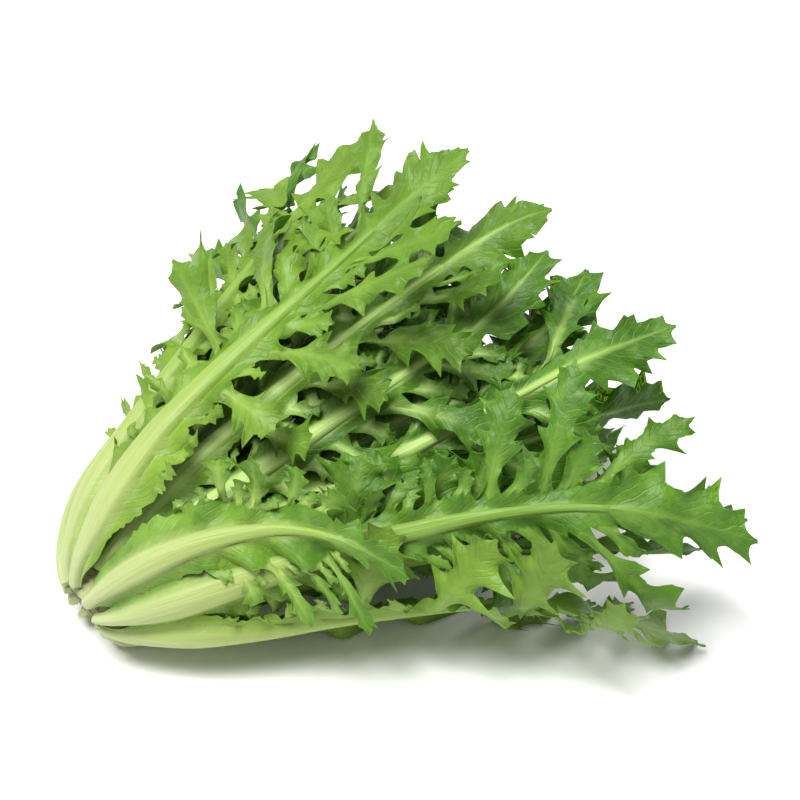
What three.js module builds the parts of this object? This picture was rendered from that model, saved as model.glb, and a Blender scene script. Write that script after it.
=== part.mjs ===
// Frisee: a curly endive head lying on its side.
// Separate toothed leaves stand in four rings round a short root plug with a flat cut face.
// Millimetres, +Z up. +X runs from the cut root to the leaf tips and +Y is the far side.

import * as THREE from 'three';

const DEG = Math.PI / 180;
const ROOT_HEIGHT = 21;        // height of the root point over the table
const HEAD_LENGTH = 300;       // distance from the root over which the outline changes
const HALF_BLADE = 0.45;       // half of a blade's thickness
const RIB_SHOULDER = 0.62;     // place of the rib's shoulder, as a part of its half width
const LOBED_TO = 0.83;         // the last side lobe ends at this part of the leaf
const FLOOR_KNEE = 2.5;        // how softly a blade bends where it meets the table
const CURL_RISE = 0.36;        // rise of a lobe's tip at a curl of 1, as a part of its length
const FREE_CURL = 60;          // room for a lobe that curls outward with nothing over it

// Leaf levels inside a ring: neighbours lie on different levels and so pass over each other.
// Each has its shift of the layer and how far a lobe may curl outward and inward.
const LEVELS = {
  crest: { shift: 0.09, out: FREE_CURL, in: 2, dish: 3 },
  top: { shift: 0.06, out: FREE_CURL, in: 3, dish: 3 },
  middle: { shift: 0, out: 3, in: 2.5, dish: 1 },
  under: { shift: -0.06, out: 2, in: 3, dish: -1.5 },
  deep: { shift: -0.11, out: 1.5, in: 4, dish: -3 },
  sunk: { shift: -0.15, out: 1.5, in: 1.5, dish: 0 },
};

// The outer ring, placed from the ribs seen in the picture and carried on round the back.
// around: angle round the bundle (0 far side, 90 top, 180 near side, 270 table), degrees.
// drift, sway: how far the rib's line swings round the bundle, in radians.
// foot: the rib's width at its foot as a part of rib, its full width. tipOut: lift of the tip.
// outLow, outHigh: extra outward curl of the lobes on the two sides of the leaf.
const OUTER_LEAVES = [
  { around: 24, level: 'under', length: 246, rib: 14, outLow: 1.2, sway: 0.03, drift: -0.1 },
  { around: 55, level: 'middle', length: 236, rib: 14.5, outLow: 0.9, sway: 0.05, tipOut: 4, drift: -0.2 },
  { around: 84, level: 'crest', length: 238, rib: 16, sway: -0.05, foot: 0.3, tipOut: 5, outLow: 0.5 },
  { around: 128, level: 'top', length: 140, rib: 15.5, drift: 0.65, tipOut: 18, outHigh: 0.3, foot: 0.36,
    lobe: 20, lobedFrom: 0.5 },
  { around: 159, level: 'middle', length: 268, rib: 14, drift: 0.22, sway: 0.03, foot: 0.26,
    lobe: 54, lobes: 6, lobedFrom: 0.6 },
  { around: 174, level: 'sunk', layer: 0.81, shift: 0, start: 25, length: 252, rib: 12, drift: 0.2,
    lobe: 48, lobedFrom: 0.34 },
  { around: 187, level: 'top', length: 250, rib: 18, drift: 0.1, tipOut: 24, outHigh: 1.6, foot: 0.24,
    lobedFrom: 0.37 },
  { around: 234, level: 'sunk', length: 262, rib: 14, lobe: 34 },
  { around: 272, level: 'middle', length: 262, rib: 15, lobe: 36 },
  { around: 308, level: 'sunk', length: 262, rib: 14, lobe: 34 },
  { around: 334, level: 'middle', length: 258, rib: 14.5, lobe: 40, sway: -0.03 },
  { around: 359, level: 'deep', length: 250, rib: 14.5 },
];
const OUTER_SEEDS = [886, 890, 893, 615, 15, 33, 890, 899, 18, 749, 159, 574];
const OUTER_RING = {
  layer: 0.94, start: 13.5, lobe: 50, lobes: 8, lobedFrom: 0.42, columns: 5, rows: 5, teeth: 2,
};

// extra: millimetres added to single leaves, by their place in the ring. free: their extra curl.
const INNER_RINGS = [
  { name: 'second', angles: [5, 35, 65, 95, 124, 151, 182, 215, 267, 335], levels: 'hmlhmlhmlm',
    seeds: [128, 201, 342, 203, 159, 900, 244, 841, 898, 832],
    extra: { 3: -16, 4: -10, 5: 30 }, free: { 3: 0.8, 5: 0.3 },
    layer: 0.66, start: 20, rib: 11, length: 250, lobe: 42,
    lobes: 8, lobedFrom: 0.38, columns: 5, rows: 4, teeth: 2 },
  { name: 'third', angles: [20, 60, 100, 140, 175, 207, 262, 314, 350], levels: 'hmlhmhlhm',
    seeds: [809, 327, 598, 770, 304, 371, 32, 450, 828],
    extra: { 2: 15, 3: 4, 4: 26, 5: -14, 8: -8 },
    layer: 0.43, start: 29, rib: 9, length: 236, lobe: 31,
    lobes: 8, lobedFrom: 0.38, columns: 3, rows: 4, teeth: 1 },
  { name: 'heart', angles: [50, 170, 290], levels: 'hml', seeds: [400, 832, 402],
    layer: 0.21, start: 38, rib: 8, length: 208, lobe: 28,
    lobes: 5, lobedFrom: 0.38, columns: 3, rows: 3, teeth: 1 },
];
const INNER_LEVELS = {
  h: { shift: 0.06, out: 4, in: 2.5, dish: 2 },
  m: { shift: 0, out: 2.5, in: 2.5, dish: 0 },
  l: { shift: -0.06, out: 2.5, in: 4, dish: -2 },
};

// The leaf's end: place along it and width, as parts of its length and of its widest half.
const END_WIDTH = 0.34;
const END_OUTLINE = [[0.1, 0.55], [0.33, 1.1], [0.44, 0.62], [0.63, 0.95], [0.74, 0.5]];

// Root plug, as points along its axis: distance from the root point and radius.
const CORE_TILT = 18.5;
const CORE_SIDES = 20;
const CORE_PROFILE = [
  [-1.6, 10.4], [-1, 10.8], [0.4, 11.4], [3, 12.4], [9, 13.8], [16, 14],
  [23, 13], [30, 10.5], [36, 7], [39, 4],
];
const CORE_TIP = 40;

const COLOURS = { core: 0xc9b78a, outer: 0x8bae5d, second: 0x7fa356, third: 0x7a9850, heart: 0x8fb060 };

function clamp(x, low, high) {
  return Math.min(high, Math.max(low, x));
}

function smooth(x, from, to) {
  const t = clamp((x - from) / (to - from), 0, 1);
  return t * t * (3 - 2 * t);
}

// Repeatable draws, so that the head comes out alike each time.
class Draws {
  constructor(seed) {
    this.state = (seed * 7919 + 101) % 2147483647;
    for (let i = 0; i < 5; i += 1) this.next();
  }

  next() {
    this.state = (this.state * 16807) % 2147483647;
    return this.state / 2147483647;
  }

  between(low, high) {
    return low + (high - low) * this.next();
  }
}

// The bundle is a nest of shells. A shell is the set of points that share one layer value:
// 0 is the bundle's middle line and 1 its outside. Angles are measured at the root point.
function shellCentre(reach) {
  return (11 + 9 * Math.exp(-reach / 70)) * DEG;
}

function shellExtents(reach) {
  const bulb = 84 * Math.exp(-reach / 40);
  const centre = shellCentre(reach);
  const near = (39 + (5 * reach) / HEAD_LENGTH + bulb) * DEG;
  const far = (40.5 + bulb) * DEG;
  const top = (49 - 22 * clamp(reach / HEAD_LENGTH, 0, 1.2) ** 1.5 + 0.95 * bulb) * DEG;
  const table = (centre + Math.asin(clamp(ROOT_HEIGHT / reach, 0, 1))) / OUTER_RING.layer;
  const free = (38 + bulb) * DEG;
  const down = (table ** -8 + free ** -8) ** (-1 / 8);
  return { near, far, up: top - centre, down, centre };
}

function shellPoint(reach, around, layer) {
  const { near, far, up, down, centre } = shellExtents(reach);
  const across = Math.cos(around);
  const high = Math.sin(around);
  const low = smooth(-high, 0, 0.5);
  const power = 2 + 0.6 * low;
  const wide = across >= 0 ? far : near * (1 - 0.25 * low);
  const tall = high >= 0 ? up : down;
  const spread = ((Math.abs(across) / wide) ** power + (Math.abs(high) / tall) ** power) ** (-1 / power);
  const open = layer * spread;
  const ahead = Math.cos(open);
  const out = Math.sin(open);
  return new THREE.Vector3(
    reach * (ahead * Math.cos(centre) - out * high * Math.sin(centre)),
    reach * out * across,
    ROOT_HEIGHT + reach * (ahead * Math.sin(centre) + out * high * Math.cos(centre)),
  );
}

// Walks the given number of millimetres round a shell and returns the angle reached.
function walkAround(reach, around, layer, millimetres) {
  const steps = 14;
  const d = 0.02;
  let angle = around;
  for (let i = 0; i < steps; i += 1) {
    const before = shellPoint(reach, angle - d, layer);
    const after = shellPoint(reach, angle + d, layer);
    const speed = before.distanceTo(after) / (2 * d);
    angle += millimetres / steps / Math.max(speed, 2);
  }
  return angle;
}

function aboveTable(z) {
  if (z > FLOOR_KNEE) return z;
  if (z < -FLOOR_KNEE) return 0;
  return (z + FLOOR_KNEE) ** 2 / (4 * FLOOR_KNEE);
}

// A leaf's own sheet: reach is the distance from the root, side the distance from the rib's
// middle line and lift the distance outward from the shell.
function leafPoint(leaf, reach, side, lift) {
  const t = clamp(reach / leaf.length, 0, 1.3);
  const layer = leaf.layer + leaf.shift * smooth(reach, 30, 90);
  const line = leaf.around + leaf.drift * t * t + leaf.sway * Math.sin(2.2 * Math.PI * t) * t;
  const angle = walkAround(reach, line, layer, side);
  const point = shellPoint(reach, angle, layer);
  const along = shellPoint(reach + 0.4, angle, layer).sub(shellPoint(reach - 0.4, angle, layer));
  const round = shellPoint(reach, angle + 0.01, layer).sub(shellPoint(reach, angle - 0.01, layer));
  const outward = round.cross(along).normalize();
  point.addScaledVector(outward, lift);
  point.z = HALF_BLADE + 0.05 + aboveTable(point.z - HALF_BLADE - 0.05);
  return point;
}

function ribWidth(leaf, reach) {
  const t = reach / leaf.length;
  const start = leaf.foot + (1 - leaf.foot) * smooth(reach, 10, 55);
  const taper = 1 - 0.32 * smooth(t, 0.2, 0.48) - 0.44 * smooth(t, 0.42, 0.8) - 0.14 * smooth(t, 0.78, 1);
  return leaf.rib * start * taper;
}

function ribDepth(leaf, reach) {
  return 0.4 + 0.3 * ribWidth(leaf, reach) + 1.6 * (1 - smooth(reach, 13, 40));
}

function wingWidth(leaf, reach) {
  const t = reach / leaf.length;
  return 0.25 + 0.55 * smooth(reach, 15, 40) + 1.2 * smooth(t, 0.1, 0.28) + 1.6 * smooth(t, 0.3, 0.5)
    + 2 * smooth(t, 0.55, 0.85);
}

function tipLift(leaf, reach) {
  return leaf.tipOut * smooth(reach / leaf.length, 0.6, 1.15) ** 1.3;
}

// Keeps a curl inside the room that the leaf's level leaves it. A side with extra curl is free.
function softLimit(leaf, lift, reach, extra = 0) {
  const room = 0.15 + 0.85 * smooth(reach, 90, 170);
  const out = extra > 0 || leaf.out === FREE_CURL ? FREE_CURL : leaf.out * room;
  const inward = leaf.in * room;
  return lift > 0 ? out * Math.tanh(lift / out) : -inward * Math.tanh(-lift / inward);
}

// One side of a lobe: neck, first tooth, notch and second tooth, each with its place
// along the lobe and its width as a part of the lobe's half width.
function drawToothing(draws) {
  return {
    neck: [0.22, draws.between(0.28, 0.4)],
    first: [draws.between(0.36, 0.46), draws.between(0.68, 0.95)],
    notch: [0.52, draws.between(0.5, 0.68)],
    second: [draws.between(0.62, 0.72), draws.between(0.8, 1.15)],
  };
}

// The side lobes stand by turns on the two sides of the rib.
function planLobes(leaf) {
  const draws = new Draws(leaf.seed);
  const from = leaf.lobedFrom * leaf.length;
  const step = (LOBED_TO * leaf.length - from) / leaf.lobes;
  const common = draws.between(-16, 16);
  const lobes = [];
  for (let k = 0; k < leaf.lobes; k += 1) {
    const side = k % 2 === 0 ? 1 : -1;
    const t = (k + 0.5) / leaf.lobes;
    const grow = smooth(t, -0.2, 0.4) * (1 - 0.3 * smooth(t, 0.6, 1.1));
    const length = leaf.lobe * (0.28 + 0.82 * grow) * draws.between(0.8, 1.2);
    const lean = (72 - 34 * t + draws.between(-8, 8)) * DEG;
    const bend = (common + draws.between(-18, 18)) * DEG;
    const curl = draws.between(-1, 1) + (side > 0 ? leaf.outHigh : leaf.outLow);
    const halfWidth = Math.min(draws.between(0.26, 0.38) * length, 1.05 * step * Math.sin(lean));
    const twist = draws.between(-0.5, 0.5);
    const wave = draws.between(0, 6.28);
    const rootward = drawToothing(draws);
    const tipward = drawToothing(draws);
    lobes.push({ k, side, length, lean, bend, curl, halfWidth, twist, wave, rootward, tipward });
  }
  return {
    from, step, lobes,
    endBend: draws.between(-0.7, 0.7), endTwist: draws.between(-0.2, 0.2), endCurl: draws.between(-0.5, 1),
  };
}

// A sheet is a flat list of leaf points joined by triangles. Each point also keeps how thick
// the leaf is outward and inward from the sheet there.
class Sheet {
  constructor(leaf) {
    this.leaf = leaf;
    this.places = [];
    this.points = [];
    this.thick = [];
    this.triangles = [];
  }

  add(reach, side, lift, outer, inner) {
    this.places.push([reach, side]);
    this.points.push(leafPoint(this.leaf, reach, side, lift));
    this.thick.push([outer, inner]);
    return this.points.length - 1;
  }

  // Joins two rows of points. A row may have fewer points than the one before it.
  join(row, next) {
    if (row.length === next.length) {
      for (let j = 0; j + 1 < row.length; j += 1) {
        this.triangles.push([row[j], row[j + 1], next[j]], [row[j + 1], next[j + 1], next[j]]);
      }
      return;
    }
    const last = next.length - 1;
    let j = 0;
    for (let i = 0; i + 1 < row.length; i += 1) {
      this.triangles.push([row[i], row[i + 1], next[j]]);
      const goal = Math.round(((i + 1) / (row.length - 1)) * last);
      while (j < goal && i + 2 <= row.length) {
        this.triangles.push([row[i + 1], next[j + 1], next[j]]);
        j += 1;
      }
    }
  }
}

function ribRow(sheet, reach) {
  const { leaf } = sheet;
  const half = ribWidth(leaf, reach) / 2;
  const edge = half + wingWidth(leaf, reach);
  const depth = ribDepth(leaf, reach);
  const lift = tipLift(leaf, reach);
  const blade = [HALF_BLADE, HALF_BLADE];
  const shoulder = [HALF_BLADE + 0.82 * depth, HALF_BLADE + 0.2 * depth];
  const crown = [HALF_BLADE + depth, HALF_BLADE + 0.25 * depth];
  const flank = RIB_SHOULDER * half;
  const columns = leaf.columns === 5
    ? [[-edge, blade], [-flank, shoulder], [0, crown], [flank, shoulder], [edge, blade]]
    : [[-edge, blade], [0, crown], [edge, blade]];
  return columns.map(([side, thick]) => sheet.add(reach, side, lift, thick[0], thick[1]));
}

// A point of a lobe in the leaf's flat layout: reach and side.
function lobePlace(lobe, base, t, across, width) {
  const pieces = 12;
  let reach = base.reach;
  let side = base.side;
  for (let i = 0; i < pieces; i += 1) {
    const lean = lobe.lean + lobe.bend * t * ((i + 0.5) / pieces);
    reach += (Math.cos(lean) * lobe.length * t) / pieces;
    side += (lobe.side * Math.sin(lean) * lobe.length * t) / pieces;
  }
  const lean = lobe.lean + lobe.bend * t;
  const offset = across * lobe.halfWidth * width;
  const sweep = 0.35 * Math.abs(offset) * smooth(t, 0, 0.4) * (1 - smooth(t, 0.85, 1));
  reach += Math.sin(lean) * offset + Math.cos(lean) * sweep;
  side += -lobe.side * Math.cos(lean) * offset + lobe.side * Math.sin(lean) * sweep;
  return { reach, side, offset };
}

function lobeLift(leaf, lobe, t, offset, reach) {
  const wave = 0.1 * Math.abs(offset) * Math.sin(9 * t + lobe.wave + (offset > 0 ? 1.7 : 0));
  const curl = lobe.curl * lobe.length * CURL_RISE * t ** 1.7;
  const twist = lobe.twist * offset * smooth(t, 0.05, 0.6);
  const dish = leaf.dish * smooth(t * lobe.length, 2, 20);
  const extra = lobe.side > 0 ? leaf.outHigh : leaf.outLow;
  return softLimit(leaf, curl + twist + wave, reach, extra) + dish + tipLift(leaf, reach);
}

function lobePoint(sheet, lobe, base, t, across, width) {
  const place = lobePlace(lobe, base, t, across, width);
  if (across !== 0) {
    // near its foot the lobe flows into the margin that it grows from
    const flow = 1 - smooth(t, 0, 0.3);
    const foot = lobePlace(lobe, base, 0, across, 0.62);
    const edge = across < 0 ? base.rootward : base.tipward;
    place.reach += (edge[0] - foot.reach) * flow;
    place.side += (edge[1] - foot.side) * flow;
  }
  const lift = lobeLift(sheet.leaf, lobe, t, place.offset, place.reach);
  return sheet.add(place.reach, place.side, lift, HALF_BLADE, HALF_BLADE);
}

function addLobe(sheet, lobe, rootward, tipward) {
  const [a, b] = [sheet.places[rootward], sheet.places[tipward]];
  const base = { reach: (a[0] + b[0]) / 2, side: (a[1] + b[1]) / 2, rootward: a, tipward: b };
  const stations = sheet.leaf.teeth === 2 ? ['neck', 'first', 'notch', 'second'] : ['neck', 'second'];
  const order = (low, high) => (lobe.side > 0 ? [high, low] : [low, high]);
  let row = order(rootward, tipward);
  for (const station of stations) {
    const low = lobePoint(sheet, lobe, base, lobe.rootward[station][0], -1, lobe.rootward[station][1]);
    const high = lobePoint(sheet, lobe, base, lobe.tipward[station][0], 1, lobe.tipward[station][1]);
    const next = order(low, high);
    sheet.join(row, next);
    row = next;
  }
  const tip = lobePoint(sheet, lobe, base, 1, 0, 0);
  sheet.triangles.push([row[0], row[1], tip]);
}

function endLift(leaf, plan, length, t, place) {
  const twist = plan.endTwist * place.offset * smooth(t, 0.05, 0.6);
  const curl = plan.endCurl * length * CURL_RISE * t ** 1.7;
  return softLimit(leaf, twist + curl, place.reach) + tipLift(leaf, place.reach);
}

// The end of the leaf carries on from the last rib row with two teeth on each side.
function addEndLobe(sheet, plan, row) {
  const { leaf } = sheet;
  const from = LOBED_TO * leaf.length;
  const length = leaf.length - from + 0.2 * leaf.lobe;
  const end = { side: 1, length, lean: 0, bend: plan.endBend, halfWidth: END_WIDTH * length };
  const base = { reach: from, side: 0 };
  const used = leaf.teeth === 2 ? END_OUTLINE : END_OUTLINE.slice(1, 4);
  let last = row;
  for (const [t, width] of used) {
    const next = [1, 0, -1].map((across) => {
      const place = lobePlace(end, base, t, across, width);
      const lift = endLift(leaf, plan, length, t, place);
      const outer = HALF_BLADE + (across === 0 ? 0.5 * (1 - t) : 0);
      return sheet.add(place.reach, place.side, lift, outer, HALF_BLADE);
    });
    sheet.join(last, next);
    last = next;
  }
  const place = lobePlace(end, base, 1, 0, 0);
  const lift = endLift(leaf, plan, length, 1, place);
  const tip = sheet.add(place.reach, place.side, lift, HALF_BLADE, HALF_BLADE);
  sheet.triangles.push([last[0], last[1], tip], [last[1], last[2], tip]);
}

function leafSheet(leaf) {
  const sheet = new Sheet(leaf);
  const plan = planLobes(leaf);
  const reaches = [];
  for (let i = 0; i < leaf.rows; i += 1) {
    reaches.push(leaf.start + (plan.from - leaf.start) * (i / leaf.rows) ** 1.6);
  }
  for (let k = 0; k <= leaf.lobes; k += 1) reaches.push(plan.from + k * plan.step);
  const rows = reaches.map((reach) => ribRow(sheet, reach));
  for (let i = 0; i + 1 < rows.length; i += 1) sheet.join(rows[i], rows[i + 1]);
  for (const lobe of plan.lobes) {
    const near = rows[leaf.rows + lobe.k];
    const far = rows[leaf.rows + lobe.k + 1];
    const margin = lobe.side > 0 ? near.length - 1 : 0;
    addLobe(sheet, lobe, near[margin], far[margin]);
  }
  addEndLobe(sheet, plan, rows[rows.length - 1]);
  return sheet;
}

function sheetNormals(sheet) {
  const normals = sheet.points.map(() => new THREE.Vector3());
  for (const [a, b, c] of sheet.triangles) {
    const ab = sheet.points[b].clone().sub(sheet.points[a]);
    const ac = sheet.points[c].clone().sub(sheet.points[a]);
    const face = ab.cross(ac);
    normals[a].add(face);
    normals[b].add(face);
    normals[c].add(face);
  }
  return normals.map((normal) => normal.normalize());
}

// Edges that belong to one triangle only, in that triangle's direction.
function rimEdges(triangles) {
  const seen = new Map();
  for (const [a, b, c] of triangles) {
    for (const [p, q] of [[a, b], [b, c], [c, a]]) {
      const key = p < q ? `${p}_${q}` : `${q}_${p}`;
      if (seen.has(key)) seen.set(key, null);
      else seen.set(key, [p, q]);
    }
  }
  return [...seen.values()].filter((edge) => edge !== null);
}

// Gives the sheet its thickness: the same triangles outside and inside, joined round the rim.
function thicken(sheet) {
  const normals = sheetNormals(sheet);
  const count = sheet.points.length;
  const positions = [];
  for (const which of [0, 1]) {
    for (let i = 0; i < count; i += 1) {
      const offset = which === 0 ? sheet.thick[i][0] : -sheet.thick[i][1];
      const point = sheet.points[i].clone().addScaledVector(normals[i], offset);
      positions.push(point.x, point.y, Math.max(point.z, 0));
    }
  }
  const indices = [];
  for (const [a, b, c] of sheet.triangles) {
    indices.push(a, b, c);
    indices.push(a + count, c + count, b + count);
  }
  for (const [p, q] of rimEdges(sheet.triangles)) {
    indices.push(q, p, p + count);
    indices.push(q, p + count, q + count);
  }
  return solid(positions, indices);
}

function solid(positions, indices) {
  const geometry = new THREE.BufferGeometry();
  geometry.setAttribute('position', new THREE.Float32BufferAttribute(positions, 3));
  geometry.setIndex(indices);
  return geometry;
}

function coreGeometry() {
  const positions = [];
  const indices = [];
  const tilt = CORE_TILT * DEG;
  const place = (along, y, z) => {
    const x = along * Math.cos(tilt) - z * Math.sin(tilt);
    positions.push(x, y, ROOT_HEIGHT + along * Math.sin(tilt) + z * Math.cos(tilt));
  };
  for (const [along, radius] of CORE_PROFILE) {
    for (let i = 0; i < CORE_SIDES; i += 1) {
      const angle = (2 * Math.PI * i) / CORE_SIDES;
      place(along, radius * Math.cos(angle), radius * Math.sin(angle));
    }
  }
  const face = positions.length / 3;
  place(CORE_PROFILE[0][0], 0, 0);
  const tip = face + 1;
  place(CORE_TIP, 0, 0);
  for (let i = 0; i < CORE_SIDES; i += 1) {
    const j = (i + 1) % CORE_SIDES;
    indices.push(face, j, i);
    for (let k = 0; k + 1 < CORE_PROFILE.length; k += 1) {
      const a = k * CORE_SIDES;
      const b = a + CORE_SIDES;
      indices.push(a + i, a + j, b + i, a + j, b + j, b + i);
    }
    const end = (CORE_PROFILE.length - 1) * CORE_SIDES;
    indices.push(end + i, end + j, tip);
  }
  return solid(positions, indices);
}

function twoDigits(n) {
  return String(n).padStart(2, '0');
}

const PLAIN_LEAF = { drift: 0, sway: 0, tipOut: 0, outLow: 0, outHigh: 0, foot: 0.22, extra: {}, free: {} };

function outerLeaves() {
  return OUTER_LEAVES.map((item, i) => {
    const level = LEVELS[item.level];
    const leaf = { ...PLAIN_LEAF, ...OUTER_RING, ...level, ...item };
    leaf.around = item.around * DEG;
    leaf.seed = OUTER_SEEDS[i];
    leaf.name = `leaf_outer_${twoDigits(i + 1)}`;
    leaf.colour = COLOURS.outer;
    return leaf;
  });
}

function innerLeaves() {
  const leaves = [];
  for (const ring of INNER_RINGS) {
    for (let i = 0; i < ring.angles.length; i += 1) {
      const leaf = { ...PLAIN_LEAF, ...ring, ...INNER_LEVELS[ring.levels[i]] };
      leaf.around = ring.angles[i] * DEG;
      leaf.length = ring.length * (1 + 0.08 * Math.sin(2.4 * i)) + (leaf.extra[i] ?? 0);
      leaf.outLow = leaf.free[i] ?? 0;
      leaf.outHigh = leaf.outLow;
      leaf.seed = ring.seeds[i];
      leaf.name = `leaf_${ring.name}_${twoDigits(i + 1)}`;
      leaf.colour = COLOURS[ring.name];
      leaves.push(leaf);
    }
  }
  return leaves;
}

function addNode(group, name, geometry, colour) {
  geometry.computeVertexNormals();
  const material = new THREE.MeshStandardMaterial({ color: colour, roughness: 0.6, flatShading: true });
  const mesh = new THREE.Mesh(geometry, material);
  mesh.name = name;
  group.add(mesh);
}

// Moves every node alike so that the head stands on z = 0 with its middle over the origin.
function centre(group) {
  const box = new THREE.Box3();
  for (const mesh of group.children) {
    mesh.geometry.computeBoundingBox();
    box.union(mesh.geometry.boundingBox);
  }
  const middle = box.getCenter(new THREE.Vector3());
  for (const mesh of group.children) mesh.geometry.translate(-middle.x, -middle.y, -box.min.z);
}

function buildFrisee() {
  const group = new THREE.Group();
  group.name = 'frisee';
  addNode(group, 'core', coreGeometry(), COLOURS.core);
  for (const leaf of [...outerLeaves(), ...innerLeaves()]) {
    addNode(group, leaf.name, thicken(leafSheet(leaf)), leaf.colour);
  }
  centre(group);
  return group;
}

export default buildFrisee();
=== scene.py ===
# %% [markdown]
# # Frisee, a curly endive head lying on its side
# The head is a nest of deeply cut leaves that all grow from one short root plug. The frame holds
# each leaf as a plain faceted solid. Here each of them is made again, in the same place and form,
# with its teeth, frills, rounded ribs and veins. A leaf could be sculpted by hand, but there are
# 34 of them and no two are alike, so one set of rules draws them all from a few values each.
# Every length below is in millimetres, as on a drawing, and is turned into Blender's metres when
# a mesh is made.

# %% The frame
import math

import bpy
import numpy as np
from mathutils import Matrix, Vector


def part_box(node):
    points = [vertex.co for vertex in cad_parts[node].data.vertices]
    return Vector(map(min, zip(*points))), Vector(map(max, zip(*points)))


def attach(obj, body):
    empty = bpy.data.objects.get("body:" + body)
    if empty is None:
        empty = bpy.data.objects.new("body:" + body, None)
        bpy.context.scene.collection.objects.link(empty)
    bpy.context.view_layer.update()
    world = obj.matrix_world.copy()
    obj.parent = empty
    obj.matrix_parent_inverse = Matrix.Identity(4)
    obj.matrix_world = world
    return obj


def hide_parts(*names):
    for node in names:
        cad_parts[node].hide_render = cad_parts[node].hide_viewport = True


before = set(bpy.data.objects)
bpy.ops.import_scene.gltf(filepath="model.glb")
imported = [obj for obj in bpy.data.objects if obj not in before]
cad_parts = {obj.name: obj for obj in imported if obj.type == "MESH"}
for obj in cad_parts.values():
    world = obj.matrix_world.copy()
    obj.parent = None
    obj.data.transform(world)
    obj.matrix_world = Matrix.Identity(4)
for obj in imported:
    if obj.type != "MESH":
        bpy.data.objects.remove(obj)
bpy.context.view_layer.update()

MM = 0.001
print("nodes in the frame:", len(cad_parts))

# %% [markdown]
# ## Small tools
# A leaf has some ten thousand points. They are worked out as whole numpy arrays, because a loop
# over single points would take minutes. `smooth` is the soft step that most of the shapes below
# are drawn with: 0 before the first value, 1 after the second, and an S-curve between them.
# `Draws` gives random numbers that follow from a seed, so every run makes the same head.


# %% Soft step and repeatable draws
def smooth(x, start, stop):
    t = np.clip((x - start) / (stop - start), 0, 1)
    return t * t * (3 - 2 * t)


class Draws:
    """Random draws that come out alike on every run, the same as the solids were drawn with."""

    def __init__(self, seed):
        self.state = (seed * 7919 + 101) % 2147483647
        for _ in range(5):
            self.draw()

    def draw(self):
        self.state = self.state * 16807 % 2147483647
        return self.state / 2147483647

    def between(self, low, high):
        return low + (high - low) * self.draw()


print("first draw of seed 11:", round(Draws(11).draw(), 4))

# %% [markdown]
# ## The nest of shells
# In a head the leaves lie in layers, like the coats of an onion that has been combed out into a
# fan. A simulation could drop them on each other, but the result would not match the solids.
# Here they lie on shells that a formula gives: layer 0 is the bundle's middle line and layer 1
# its outside. A point on a shell has a distance from the root (reach) and an angle round the
# bundle (0 far side, 90 top, 180 near side, 270 table). Close to the root the shells bulge, which
# makes the pale bulb, and under the head the table presses them flat.

# %% Shells
ROOT_HEIGHT = 21
HEAD_LENGTH = 300
OUTER_LAYER = 0.94
# How much wider the bundle opens at the root, in degrees, and how soon that fades.
BULB_ANGLE = 84
BULB_LENGTH = 40
# Every blade stays this far above the table, and bends over this height to lie along it.
BLADE_CLEARANCE = 0.5
FLOOR_KNEE = 2.5


def shell_extents(reach):
    """Half angles of the bundle to its four sides, and the climb of its middle line, in radians."""
    bulb = BULB_ANGLE * np.exp(-reach / BULB_LENGTH)
    centre = np.radians(11 + 9 * np.exp(-reach / 70))
    near = np.radians(39 + 5 * reach / HEAD_LENGTH + bulb)
    far = np.radians(40.5 + bulb)
    top = np.radians(49 - 22 * np.clip(reach / HEAD_LENGTH, 0, 1.2) ** 1.5 + 0.95 * bulb)
    table = (centre + np.arcsin(np.clip(ROOT_HEIGHT / reach, 0, 1))) / OUTER_LAYER
    free = np.radians(38 + bulb)
    down = (table ** -8 + free ** -8) ** (-1 / 8)
    return near, far, top - centre, down, centre


def shell_point(reach, around, layer):
    """Place in millimetres. Its zero lies on the table, below the root's cut."""
    near, far, up, down, centre = shell_extents(reach)
    across = np.cos(around)
    high = np.sin(around)
    low = smooth(-high, 0, 0.5)
    power = 2 + 0.6 * low
    wide = np.where(across >= 0, far, near * (1 - 0.25 * low))
    tall = np.where(high >= 0, up, down)
    spread = ((np.abs(across) / wide) ** power + (np.abs(high) / tall) ** power) ** (-1 / power)
    ahead = np.cos(layer * spread)
    out = np.sin(layer * spread)
    x = reach * (ahead * np.cos(centre) - out * high * np.sin(centre))
    y = reach * out * across
    z = ROOT_HEIGHT + reach * (ahead * np.sin(centre) + out * high * np.cos(centre))
    return np.stack([x, y, z], -1)


def walk_around(reach, around, layer, millimetres, steps=14, probe=0.02):
    """Goes that many millimetres round the shell and returns the angle it comes to."""
    angle = around
    for _ in range(steps):
        ahead = shell_point(reach, angle + probe, layer) - shell_point(reach, angle - probe, layer)
        speed = np.linalg.norm(ahead, axis=-1) / (2 * probe)
        angle = angle + millimetres / steps / np.maximum(speed, 2)
    return angle


def above_table(z):
    """Lays what would sink into the table along it, with a soft knee."""
    knee = (z + FLOOR_KNEE) ** 2 / (4 * FLOOR_KNEE)
    return np.where(z > FLOOR_KNEE, z, np.where(z < -FLOOR_KNEE, 0, knee))


print("top of the outer shell 100 mm from the root:",
      shell_point(np.array(100.0), np.pi / 2, OUTER_LAYER).round(1))

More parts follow.
